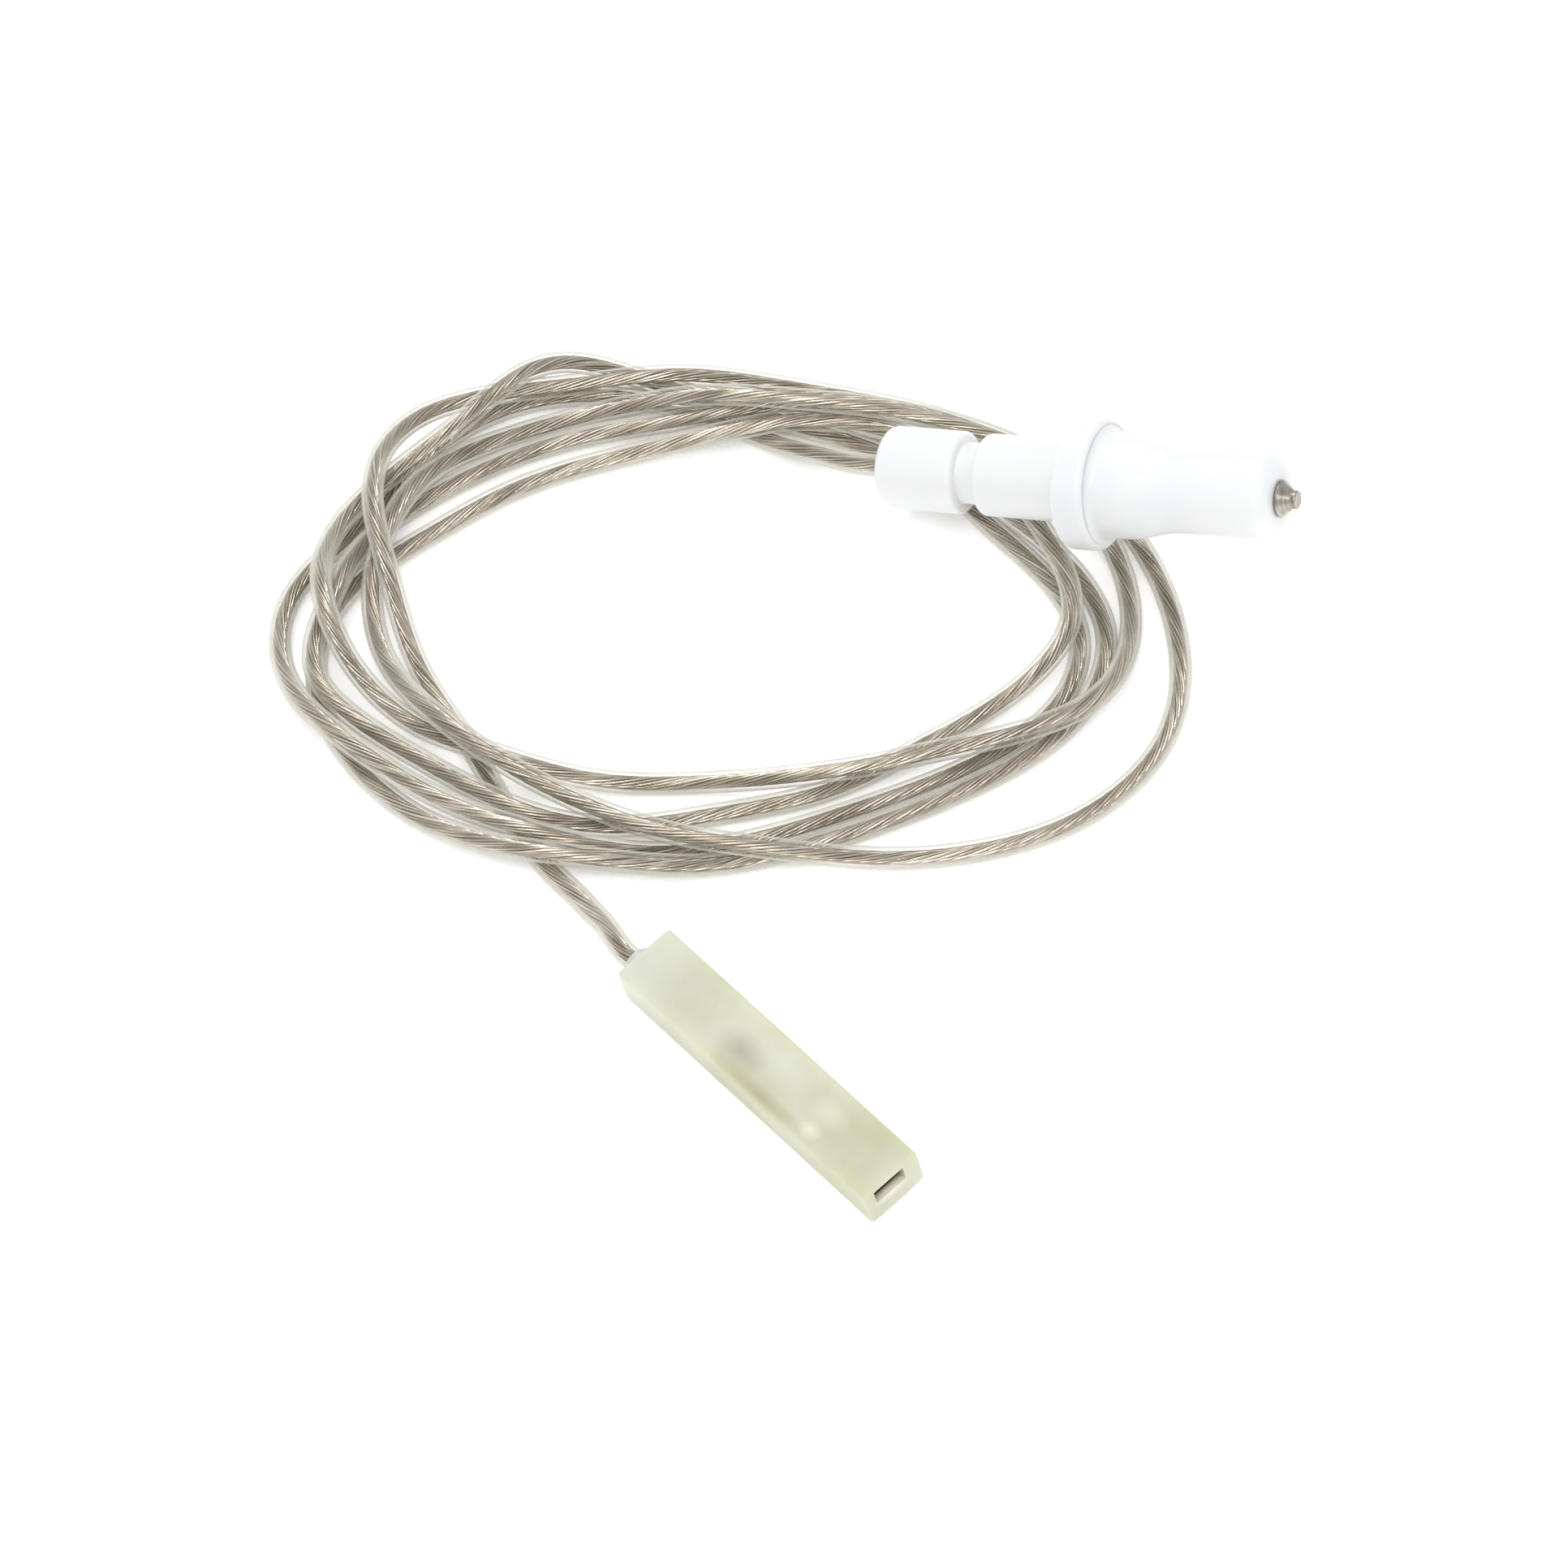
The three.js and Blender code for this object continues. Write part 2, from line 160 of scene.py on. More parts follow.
# ---- camera ----
def make_camera():
    """The photograph's view: from 50 degrees above, through a long lens."""
    azimuth, elevation, view_angle = map(math.radians, (21.6, 50, 11.59))
    distance = 0.7
    target = Vector(to_frame([(3.3, -34.8, 0)])[0])
    toward = Vector((
        math.cos(elevation) * math.sin(azimuth),
        -math.cos(elevation) * math.cos(azimuth),
        math.sin(elevation),
    ))
    data = bpy.data.cameras.new("camera")
    data.angle = view_angle
    data.clip_start = 0.01
    camera = bpy.data.objects.new("camera", data)
    camera.location = target + toward * distance
    camera.rotation_euler = (-toward).to_track_quat("-Z", "Y").to_euler()
    bpy.context.scene.collection.objects.link(camera)
    bpy.context.scene.camera = camera


# ---- the lead's route ----
def coil_points():
    """The coil's guide points, turn by turn and clock place by clock place."""
    points = []
    place = FIRST_PLACE
    mean = math.sqrt(COIL["half_length"] * COIL["half_width"])
    cosine, sine = math.cos(COIL["turn"]), math.sin(COIL["turn"])
    for strays, lifts in zip(STRAY, LIFT):
        for stray, lift in zip(strays, lifts):
            angle = 2 * math.pi * place / CLOCK_PLACES
            size = 1 + stray / mean
            along = COIL["half_length"] * size * math.cos(angle)
            across = COIL["half_width"] * size * math.sin(angle)
            points.append((
                COIL["x"] + along * cosine - across * sine,
                COIL["y"] + along * sine + across * cosine,
                LEAD_RADIUS + lift,
            ))
            place += 1
    return points


def ease(t):
    """From 0 to 1, level at both ends."""
    return t * t * (3 - 2 * t)


def smooth_curve(points, spacing):
    """The natural cubic spline through the points, as places the same distance apart."""
    points = np.asarray(points, float)
    count = len(points)
    steps = np.sqrt(np.linalg.norm(np.diff(points, axis=0), axis=1))
    knots = np.concatenate([[0], np.cumsum(steps)])
    slopes = np.diff(points, axis=0) / steps[:, None]
    system = np.eye(count)
    inner = np.arange(1, count - 1)
    system[inner, inner - 1] = steps[:-1]
    system[inner, inner] = 2 * (steps[:-1] + steps[1:])
    system[inner, inner + 1] = steps[1:]
    bends = np.zeros_like(points)
    bends[1:-1] = 6 * np.diff(slopes, axis=0)
    bends = np.linalg.solve(system, bends)
    at = np.linspace(0, knots[-1], 40 * count)
    span = np.clip(np.searchsorted(knots, at, side="right") - 1, 0, count - 2)
    width = steps[span][:, None]
    after = (at - knots[span])[:, None]
    before = width - after
    dense = (
        (bends[span] * before**3 + bends[span + 1] * after**3) / (6 * width)
        + (points[span] / width - bends[span] * width / 6) * before
        + (points[span + 1] / width - bends[span + 1] * width / 6) * after
    )
    return evenly(dense, spacing)


def evenly(dense, spacing):
    """The same curve as places the same distance apart."""
    along = np.concatenate([[0], np.cumsum(np.linalg.norm(np.diff(dense, axis=0), axis=1))])
    wanted = np.linspace(0, along[-1], int(round(along[-1] / spacing)) + 1)
    return np.stack([np.interp(wanted, along, dense[:, axis]) for axis in range(3)], axis=1)


def ceramic_clearance(places):
    """How far each place must be from the electrode's axis, and its offset from that axis. The
    profile is the ceramic's outside in (place along, radius)."""
    axis = np.array((math.cos(ELECTRODE_TILT), 0, math.sin(ELECTRODE_TILT)))
    offset = places - np.array((0, 0, TAIL_HEIGHT))
    along = offset @ axis
    outward = offset - along[:, None] * axis
    step, room = 0.01, 0.03
    profile = [
        (-0.5, 0), (0, 3.6), (0.6, TAIL["radius"]),
        (MIDDLE["end"], MIDDLE["radius"]), (MIDDLE["end"] + step, FLANGE["radius"]),
        (FLANGE["end"], FLANGE["radius"]), (FLANGE["end"] + step, 5.2),
        (26, 4.6), (NOSE["start"], NOSE["radius"]), (NOSE["end"], NOSE["front_radius"]),
    ]
    needed = np.interp(along, *zip(*profile), left=0, right=0)
    return np.where(needed > 0, needed + LEAD_RADIUS + room, 0), outward


def stiffened(count, held, stiffness):
    """The matrix that spreads each place's move along the lead as a springy rod does, while
    the held places stay."""
    held_weight = 1000.0
    bend = np.diff(np.eye(count), 2, axis=0)
    resist = np.diff(np.pad(bend, ((2, 2), (0, 0))), 2, axis=0)
    weight = np.where(held, held_weight, 1.0)
    return np.linalg.inv(np.diag(weight) + stiffness * resist) * weight


def close_pairs(lead, reach):
    """Pairs of places nearer than the reach that aren't neighbours along the lead."""
    neighbours = 8
    square = (lead**2).sum(axis=1)
    apart = square[:, None] + square[None] - 2 * lead @ lead.T
    return np.where(np.triu(apart < reach**2, neighbours))


def press_apart(lead, one, other, clear):
    """Moves the paired places that overlap away from each other, and none into the table."""
    yielding = (0.3, 0.3, 0.5)  # how much of an overlap each place gives way by, on each axis
    haste = 1.2
    gap = lead[one] - lead[other]
    length = np.linalg.norm(gap, axis=1) + TINY
    near = length < clear
    push = ((clear - length) / length)[near, None] * gap[near] * yielding
    ends = np.concatenate([one[near], other[near]])
    pushes = haste * np.concatenate([push, -push])
    count = np.maximum(np.bincount(ends, minlength=len(lead)), 1)
    for axis in range(3):
        lead[:, axis] += np.bincount(ends, pushes[:, axis], len(lead)) / count
    lead[:, 2] = np.maximum(lead[:, 2], LEAD_RADIUS)


def press_off_ceramic(lead):
    """Moves the places that are inside the ceramic out of it."""
    needed, outward = ceramic_clearance(lead)
    reach = np.linalg.norm(outward, axis=1) + TINY
    close = reach < needed
    lead[close] += outward[close] * (needed / reach - 1)[close, None]


def settle(route, held, rounds=450):
    """Lets the lead sink onto the table, where its passes push each other apart and lie over
    each other in long low humps. The held places stay."""
    clear = 2 * LEAD_RADIUS + 0.06
    sink, hold = 0.006, 0.02  # each round's drop, and its share of the way back to the route
    rod = stiffened(len(route), held, stiffness=8)
    rest = route * (1, 1, 0)  # the line that the rod springs back to lies flat
    lead = route.copy()
    for turn in range(rounds):
        if turn % 10 == 0:  # which places may touch hardly changes from round to round
            one, other = close_pairs(lead, 1.5 * clear)
        moved = lead.copy()
        moved[:, 2] -= sink
        moved[:, :2] += hold * (route[:, :2] - moved[:, :2])
        for _ in range(4):
            press_apart(moved, one, other, clear)
        press_off_ceramic(moved)
        moved[held] = route[held]
        lead = rest + rod @ (moved - rest)
        lead[:, 2] = np.maximum(lead[:, 2], LEAD_RADIUS)
    return lead


def straight(matrix, start, end, y, z, spacing):
    """Places on a line along the own +X axis of the electrode or the connector."""
    count = max(2, int(round(abs(end - start) / spacing)) + 1)
    return [tuple(matrix @ Vector((x, y, z))) for x in np.linspace(start, end, count)]


def nearest(route, point):
    """Which place of the route is nearest to the point."""
    return int(np.linalg.norm(route - np.array(point), axis=1).argmin())


def lead_route():
    """The lead's line from the ceramic's rear face to the connector's entry, in millimetres."""
    exit_ = [tuple(ELECTRODE @ Vector((x, 0, 0))) for x in (0, -1.3)]
    entry = [tuple(CONNECTOR @ Vector((x, ENTRY["y"], ENTRY["z"]))) for x in (-2.6, -1.3, 0)]
    guide = [*exit_, *ELECTRODE_RUN, *coil_points(), *COIL_EXIT, *CONNECTOR_RUN, *entry]
    route = smooth_curve(guide, ROUTE_SPACING)
    held = np.ones(len(route), bool)
    coil = slice(nearest(route, ELECTRODE_RUN[-1]), nearest(route, CONNECTOR_RUN[0]))
    held[coil] = False
    return settle(route, held)


def with_ends(route, in_tail, in_housing, spacing):
    """The route with the straight ends inside the ceramic and the connector."""
    head = straight(ELECTRODE, in_tail, 0, 0, 0, ROUTE_SPACING)[:-1]
    foot = straight(CONNECTOR, 0, in_housing, ENTRY["y"], ENTRY["z"], ROUTE_SPACING)[1:]
    return smooth_curve([*head, *map(tuple, route), *foot], spacing)


# ---- mesh helpers ----
def in_metres(matrix):
    """A placing matrix from its layout, in millimetres, to the frame, in metres."""
    place = matrix.copy()
    place.translation = ORIGIN + matrix.translation * MM
    return place


def make_object(name, points, faces, material, matrix, sharp=35):
    """A piece from points in its own millimetres, and where it is placed. It is shaded smooth
    but for edges that fold by more than the sharp angle, in degrees."""
    mesh = bpy.data.meshes.new(name)
    mesh.from_pydata((np.asarray(points, float) * MM).tolist(), [], faces)
    mesh.shade_smooth()
    mesh.set_sharp_from_angle(angle=math.radians(sharp))
    mesh.materials.append(material)
    piece = bpy.data.objects.new(name, mesh)
    piece.matrix_world = in_metres(matrix)
    bpy.context.scene.collection.objects.link(piece)
    return piece


def ring_faces(rings, sides, closed=False):
    """Quads between neighbouring rings of points, all with the same number of points."""
    faces = []
    for ring in range(rings if closed else rings - 1):
        here, there = ring * sides, (ring + 1) % rings * sides
        for side in range(sides):
            beside = (side + 1) % sides
            faces.append((here + side, there + side, there + beside, here + beside))
    return faces


def end_caps(rings, sides):
    """The two faces that close the first and the last ring."""
    last = (rings - 1) * sides
    return [tuple(range(sides)), tuple(range(last, last + sides))[::-1]]


def turned(name, outline, matrix, material, sides=160, closed=False):
    """A solid turned about +X from its outline of (place along, radius)."""
    angles = np.linspace(0, 2 * math.pi, sides, endpoint=False)
    points = [
        (along, radius * math.cos(angle), radius * math.sin(angle))
        for along, radius in outline
        for angle in angles
    ]
    faces = ring_faces(len(outline), sides, closed)
    if not closed:
        faces += end_caps(len(outline), sides)
    return make_object(name, points, faces, material, matrix)


def arc(centre, radius, start, end, steps=8):
    """Places on an arc in (along, radius): 0 degrees is outwards and 90 is forwards."""
    angles = np.radians(np.linspace(start, end, steps + 1))
    return [(centre[0] + radius * math.sin(a), centre[1] + radius * math.cos(a)) for a in angles]


def sweep_frames(route):
    """Two unit directions across the route at each place, which never spin round it."""
    tangents = np.gradient(route, axis=0)
    tangents /= np.linalg.norm(tangents, axis=1)[:, None]
    side = np.cross(tangents[0], (0, 0, 1))
    sides = []
    for tangent in tangents:
        side = side - tangent * (side @ tangent)
        side /= np.linalg.norm(side)
        sides.append(side)
    sides = np.array(sides)
    return sides, np.cross(tangents, sides)


def sweep(name, route, section, material, twist=0.0):
    """A closed tube along the route. The section is its angles and radii, and twist is how
    far it turns round the route from each place to the next."""
    crease = 60  # degrees; the valleys between the wires fold by more
    sides, ups = sweep_frames(route)
    angles, radii = section
    spin = angles[None, :] + twist * np.arange(len(route))[:, None]
    points = (
        route[:, None]
        + (radii * np.cos(spin))[..., None] * sides[:, None]
        + (radii * np.sin(spin))[..., None] * ups[:, None]
    ).reshape(-1, 3)
    count = len(angles)
    faces = [face[::-1] for face in ring_faces(len(route), count)]
    faces += [face[::-1] for face in end_caps(len(route), count)]
    return make_object(name, points, faces, material, Matrix.Identity(4), crease)


def add_lay_map(piece, sides, spacing):
    """A UV map that follows the wires: across is round the lead, up is centimetres along. The
    side faces come first in the mesh, and those that close the ring end at 1, not 0."""
    mesh = piece.data
    layer = mesh.uv_layers.new(name="lay")
    corners = np.empty(len(mesh.loops), int)
    mesh.loops.foreach_get("vertex_index", corners)
    ring, side = np.divmod(corners, sides)
    quads = side[:-2 * sides].reshape(-1, 4)
    across_seam = np.ptp(quads, axis=1) > 1
    quads[across_seam[:, None] & (quads == 0)] = sides
    layer.data.foreach_set("uv", np.stack([side / sides, ring * spacing / 10], axis=1).ravel())


# ---- materials ----
# What shows in the cloudy nylon, some of it painted highlights, light and shade: centre and
# radii of a soft oval in the connector's own millimetres, its colour, and how strongly it
# shows (over 1 is full strength further out).
NYLON_TINTS_AND_PAINTED_LIGHT = [
    ((1.0, 0, 0), (7, 9, 9), (0.72, 0.74, 0.66), 1.0),  # the paler entry end
    ((33.5, 0, -1), (4, 9, 6), (0.70, 0.71, 0.60), 0.8),  # the paler mating end
    ((18.0, 0.9, 2.3), (5, 2.4, 3), (0.72, 0.74, 0.62), 0.8),  # painted highlight over the wire crimp
    ((14.2, -0.7, 2.3), (3.2, 1.9, 3), (0.30, 0.32, 0.26), 0.6),  # shade at the wire's end
    ((18.8, -2.6, 2.3), (7.5, 1.0, 2), (0.36, 0.31, 0.18), 0.65),  # the terminal's wall
    ((24.4, -1.8, 2.3), (1.3, 1.0, 2), (0.95, 0.88, 0.66), 0.75),  # painted highlight where the terminal's curled edges lie
    # a second, softer painted highlight beside the curled edges
    ((24.6, 0.5, 2.3), (2.4, 1.6, 2), (0.86, 0.82, 0.62), 0.55),
    ((30.8, -0.35, -0.2), (2.1, 2.75, 2.4), (0.03, 0.022, 0.012), 3.0),  # painted shade in the deep, unlit cavity
    ((32.7, -0.35, 0.0), (0.8, 2.4, 0.9), (1.0, 0.92, 0.74), 1.3),  # painted light on the mouth's tunnel floor, tinted like brass
]


class Nodes:
    """A new material's node tree, with the few nodes that the materials below share."""

    def __init__(self, name):
        self.material = bpy.data.materials.new(name)
        self.material.use_nodes = True
        self.tree = self.material.node_tree
        self.shader = self.tree.nodes["Principled BSDF"]
        self.output = self.tree.nodes["Material Output"]

    def add(self, kind, **values):
        """A new node with its inputs set, each by its name with _ for a space."""
        node = self.tree.nodes.new(kind)
        for name, value in values.items():
            node.inputs[name.replace("_", " ")].default_value = value
        return node

    def link(self, source, target):
        self.tree.links.new(source, target)

    def set(self, **values):
        """Sets the shader's own inputs, named in the same way."""
        for name, value in values.items():
            self.shader.inputs[name.replace("_", " ")].default_value = value

    def place(self, stretch=(1, 1, 1), where="Object"):
        """Where a point is on its own piece, stretched axis by axis."""
        mapping = self.add("ShaderNodeMapping", Scale=stretch)
        self.link(self.add("ShaderNodeTexCoord").outputs[where], mapping.inputs["Vector"])
        return mapping.outputs["Vector"]

    def noise(self, scale, detail=3.0, stretch=(1, 1, 1), where="Object"):
        """Cloudy noise from 0 to 1."""
        texture = self.add("ShaderNodeTexNoise", Scale=scale, Detail=detail)
        self.link(self.place(stretch, where), texture.inputs["Vector"])
        return texture.outputs["Fac"]

    def ramp(self, source, stops):
        """A colour ramp from (position, colour) stops."""
        node = self.add("ShaderNodeValToRGB")
        elements = node.color_ramp.elements
        while len(elements) < len(stops):
            elements.new(0.5)
        for element, (position, color) in zip(elements, stops):
            element.position = position
            element.color = (*color, 1)
        self.link(source, node.inputs["Fac"])
        return node.outputs["Color"]

    def between(self, source, low, high):
        """A value from 0 to 1 as one from low to high."""
        node = self.add("ShaderNodeMapRange", To_Min=low, To_Max=high)
        self.link(source, node.inputs["Value"])
        return node.outputs["Result"]

    def color(self, source):
        """Gives the shader its colour."""
        self.link(source, self.shader.inputs["Base Color"])

    def roughness(self, source, low, high):
        """Gives the shader a roughness that varies from low to high."""
        self.link(self.between(source, low, high), self.shader.inputs["Roughness"])

    def bump(self, height, strength, distance):
        """Roughens the shader's surface by a height from 0 to 1, over a distance in metres."""
        node = self.add("ShaderNodeBump", Strength=strength, Distance=distance)
        self.link(height, node.inputs["Height"])
        self.link(node.outputs["Normal"], self.shader.inputs["Normal"])

    def tint(self, color, centre, radius, tone, amount):
        """Blends a soft oval of the given tone into a colour, in the piece's own metres."""
        mapping = self.add(
            "ShaderNodeMapping",
            Location=[-c / r for c, r in zip(centre, radius)],
            Scale=[1 / (r * MM) for r in radius],
        )
        self.link(self.add("ShaderNodeTexCoord").outputs["Object"], mapping.inputs["Vector"])
        blob = self.add("ShaderNodeTexGradient")
        blob.gradient_type = "SPHERICAL"
        self.link(mapping.outputs["Vector"], blob.inputs["Vector"])
        mix = self.add("ShaderNodeMix")
        mix.data_type = "RGBA"
        self.link(self.between(blob.outputs["Fac"], 0, amount), mix.inputs["Factor"])
        self.link(color, mix.inputs["A"])
        mix.inputs["B"].default_value = (*tone, 1)
        return mix.outputs["Result"]


def ceramic_material():
    """White glaze over alumina, with the faint unevenness of a dipped glaze."""
    nodes = Nodes("glazed_ceramic")
    nodes.color(nodes.ramp(nodes.noise(180), [
        (0.3, (0.74, 0.765, 0.78)), (0.7, (0.775, 0.78, 0.78))]))
    nodes.bump(nodes.noise(420, 2), 0.12, 0.0001)
    nodes.set(Roughness=0.42, Coat_Weight=0.25, Coat_Roughness=0.22, Specular_IOR_Level=0.4)
    nodes.set(Subsurface_Weight=0.25, Subsurface_Radius=(0.0012, 0.0012, 0.0012))
    nodes.set(Subsurface_Scale=1.0)
    return nodes.material


def steel_material(name="pin_steel"):
    """Turned stainless steel, with the fine rings that the tool leaves."""
    nodes = Nodes(name)
    rings = nodes.noise(900, 3, (6, 1, 1))
    nodes.color(nodes.ramp(rings, [(0.3, (0.26, 0.23, 0.19)), (0.7, (0.50, 0.47, 0.42))]))
    nodes.roughness(nodes.noise(3000, 2), 0.26, 0.4)
    nodes.bump(rings, 0.12, 0.00002)
    nodes.set(Metallic=1.0)
    return nodes.material


def wires_material():
    """Tinned copper wires, streaked along their lay and dulled in places to a warm grey."""
    nodes = Nodes("tinned_copper")
    streaks = nodes.noise(1.0, 3, (26, 1.6, 1), "UV")
    patches = nodes.noise(160, 3)
    mixed = nodes.add("ShaderNodeMath")
    mixed.operation = "ADD"
    nodes.link(streaks, mixed.inputs[0])
    nodes.link(nodes.between(patches, -0.12, 0.12), mixed.inputs[1])
    nodes.color(nodes.ramp(mixed.outputs[0], [
        (0.32, (0.17, 0.145, 0.112)), (0.5, (0.44, 0.39, 0.32)), (0.66, (0.80, 0.76, 0.68))]))
    nodes.roughness(streaks, 0.15, 0.35)
    nodes.set(Metallic=0.9)
    return nodes.material


def sheath_material():
    """Clear silicone: see-through where it is faced, milky towards its rims."""
    nodes = Nodes("lead_jacket")
    nodes.color(nodes.ramp(nodes.noise(320), [
        (0.3, (0.66, 0.64, 0.565)), (0.7, (0.77, 0.755, 0.69))]))
    nodes.set(Roughness=0.12, IOR=1.42)
    facing = nodes.add("ShaderNodeLayerWeight", Blend=0.5)
    milk = nodes.ramp(facing.outputs["Facing"], [
        (0.0, (0.07,) * 3), (0.26, (0.1,) * 3), (0.42, (0.34,) * 3), (0.56, (0.6,) * 3),
        (0.8, (0.5,) * 3), (1.0, (0.8,) * 3)])
    clear = nodes.add("ShaderNodeBsdfTransparent", Color=(0.985, 0.98, 0.965, 1))
    mix = nodes.add("ShaderNodeMixShader")
    nodes.link(milk, mix.inputs["Fac"])
    nodes.link(clear.outputs["BSDF"], mix.inputs[1])
    nodes.link(nodes.shader.outputs["BSDF"], mix.inputs[2])
    nodes.link(mix.outputs["Shader"], nodes.output.inputs["Surface"])
    return nodes.material


def nylon_material():
    """Natural nylon: pale yellow-green and cloudy, paler at its ends. The terminal shows
    through it as soft dark and bright patches, the bright ones painted highlights; the cavity
    is darkened with painted shade, and the mouth's floor lightened with painted light."""
    nodes = Nodes("nylon")
    color = nodes.ramp(nodes.noise(140, 4), [
        (0.32, (0.55, 0.56, 0.37)), (0.5, (0.60, 0.60, 0.43)), (0.68, (0.66, 0.67, 0.52))])
    for centre, radius, tone, amount in NYLON_TINTS_AND_PAINTED_LIGHT:
        color = nodes.tint(color, centre, radius, tone, amount)
    nodes.color(color)
    nodes.bump(nodes.noise(700, 2), 0.2, 0.00008)
    nodes.set(Roughness=0.42, IOR=1.5, Transmission_Weight=0.15)
    nodes.set(Subsurface_Weight=0.5, Subsurface_Radius=(0.002, 0.002, 0.0012))
    nodes.set(Subsurface_Scale=1.0)
    return nodes.material


def brass_material():
    """Brass strip, unevenly dulled."""
    nodes = Nodes("terminal_brass")
    tone = nodes.noise(500, 4)
    nodes.color(nodes.ramp(tone, [(0.3, (0.26, 0.18, 0.07)), (0.7, (0.44, 0.33, 0.15))]))
    nodes.roughness(tone, 0.25, 0.4)
    nodes.set(Metallic=1.0)
    return nodes.material


def cement_material():
    """Gritty pale cement."""
    nodes = Nodes("cement")
    grit = nodes.noise(2500, 5)
    nodes.color(nodes.ramp(grit, [(0.3, (0.62, 0.59, 0.52)), (0.7, (0.80, 0.78, 0.72))]))
    nodes.bump(grit, 0.8, 0.0001)
    nodes.set(Roughness=0.9)
    return nodes.material


def floor_material():
    """White paper, lit enough from within to leave hardly any shadow."""
    nodes = Nodes("floor")
    nodes.color(nodes.ramp(nodes.noise(30), [(0.3, (0.93,) * 3), (0.7, (0.94,) * 3)]))
    nodes.set(Roughness=0.9, Specular_IOR_Level=0.1)
    nodes.set(Emission_Color=(1, 1, 1, 1), Emission_Strength=0.3)
    return nodes.material


# ---- pieces ----
def make_ceramic(material):
    """The stepped insulator, hollow for the lead and for the pin."""
    tail_edge, middle_edge = TAIL["edge"], MIDDLE["edge"]
    nose_edge, fillet = NOSE["edge"], SHOULDER["fillet"]
    flange_edge = 0.7  # where the glaze rounds an edge off more than the ceramic's own edge
    groove_edge = 0.5
    soft = 0.12  # how the glaze softens every other corner
    waist = [
        (SHOULDER["end"] + (NOSE["start"] - SHOULDER["end"]) * t,
         SHOULDER["radius"] + (NOSE["radius"] - SHOULDER["radius"]) * ease(t))
        for t in np.linspace(0, 1, 24)
    ]
    outline = [
        (0, POCKET["radius"] + soft),
        *arc((tail_edge, TAIL["radius"] - tail_edge), tail_edge, -90, 0),
        *arc((TAIL["end"] - groove_edge, TAIL["radius"] - groove_edge), groove_edge, 0, 90),
        *arc((TAIL["end"] + soft, GROOVE["radius"] + soft), soft, -90, -180, 3),
        *arc((GROOVE["end"] - soft, GROOVE["radius"] + soft), soft, 180, 90, 3),
        *arc((GROOVE["end"] + middle_edge, MIDDLE["radius"] - middle_edge), middle_edge, -90, 0),
        *arc((MIDDLE["end"] - soft, MIDDLE["radius"] + soft), soft, 180, 90, 3),
        *arc((MIDDLE["end"] + flange_edge, FLANGE["radius"] - flange_edge), flange_edge, -90, 0),
        *arc((FLANGE["end"] - flange_edge, FLANGE["radius"] - flange_edge), flange_edge, 0, 90),
        *arc((FLANGE["end"] + fillet, SHOULDER["radius"] + fillet), fillet, -90, -180),
        *waist,
        *arc((NOSE["end"] - nose_edge, NOSE["front_radius"] - nose_edge), nose_edge, 0, 90, 12),
        (NOSE["end"], PIN_BORE_RADIUS),
        (LEAD_BORE["end"], PIN_BORE_RADIUS),
        (LEAD_BORE["end"], LEAD_BORE["radius"]),
        (POCKET["depth"], LEAD_BORE["radius"]),
        (POCKET["depth"], POCKET["radius"]),
        (soft, POCKET["radius"]),
    ]
    return turned("insulator", outline, ELECTRODE, material, closed=True)


def make_pin(material):
    """The pin with its conical head and its nib, from its end inside the ceramic to its tip."""
    seat = NOSE["end"] + PIN_HEAD["seat"]
    cone_start = seat + PIN_HEAD["rim"]
    cone_end = cone_start + PIN_HEAD["cone"]
    tip = cone_end + PIN_HEAD["nib"]
    soft, nib_edge = 0.06, 0.14
    outline = [
        (PIN["rear"], PIN["shank"]),
        (seat, PIN["shank"]),
        (seat, PIN["head"] - soft),
        *arc((seat + soft, PIN["head"] - soft), soft, -90, 0, 3),
        *arc((cone_start - soft, PIN["head"] - soft), soft, 0, 50, 3),
        (cone_end, PIN["nib"]),
        *arc((tip - nib_edge, PIN["nib"] - nib_edge), nib_edge, 0, 90, 5),
    ]
    return turned("spark_pin", outline, ELECTRODE, material, 96)


def make_cement(material):
    """The cement round the lead at the tail, sunk a little towards the lead."""
    start, end = CEMENT["start"], CEMENT["end"]
    sunk, half_sunk = 0.3, 0.12
    outline = [
        (start + sunk, CEMENT["inner"]),
        (start + half_sunk, (CEMENT["inner"] + CEMENT["outer"]) / 2),
        (start, CEMENT["outer"]),
        (end, CEMENT["outer"]),
        (end, CEMENT["inner"]),
    ]
    return turned("cement_plug", outline, ELECTRODE, material, 96, closed=True)


def make_sheath(route, material):
    """The clear sheath, and the places along its line."""
    places = with_ends(route, JACKET_IN_TAIL, JACKET_IN_HOUSING, SHEATH_SPACING)
    angles = np.linspace(0, 2 * math.pi, SHEATH_SIDES, endpoint=False)
    section = (angles, np.full(SHEATH_SIDES, LEAD_RADIUS))
    return sweep("lead_sheath", places, section, material), places


def make_wires(route, material):
    """The twisted wires as one rope whose section has a lobe for each outer wire."""
    places = with_ends(route, CORE_IN_TAIL, CORE_IN_HOUSING, WIRES_SPACING)
    half = math.pi / WIRES
    wire = CORE_RADIUS * math.sin(half) / (1 + math.sin(half))
    ring = CORE_RADIUS - wire
    local = np.linspace(-half, half, LOBE_SIDES, endpoint=False)
    lobe = ring * np.cos(local) + np.sqrt(np.maximum(wire**2 - (ring * np.sin(local))**2, 0))
    angles = np.concatenate([local + 2 * half * number for number in range(WIRES)])
    twist = -2 * math.pi * WIRES_SPACING / LAY_LENGTH
    piece = sweep("lead_wires", places, (angles, np.tile(lobe, WIRES)), material, twist)
    add_lay_map(piece, len(angles), WIRES_SPACING)
    return piece


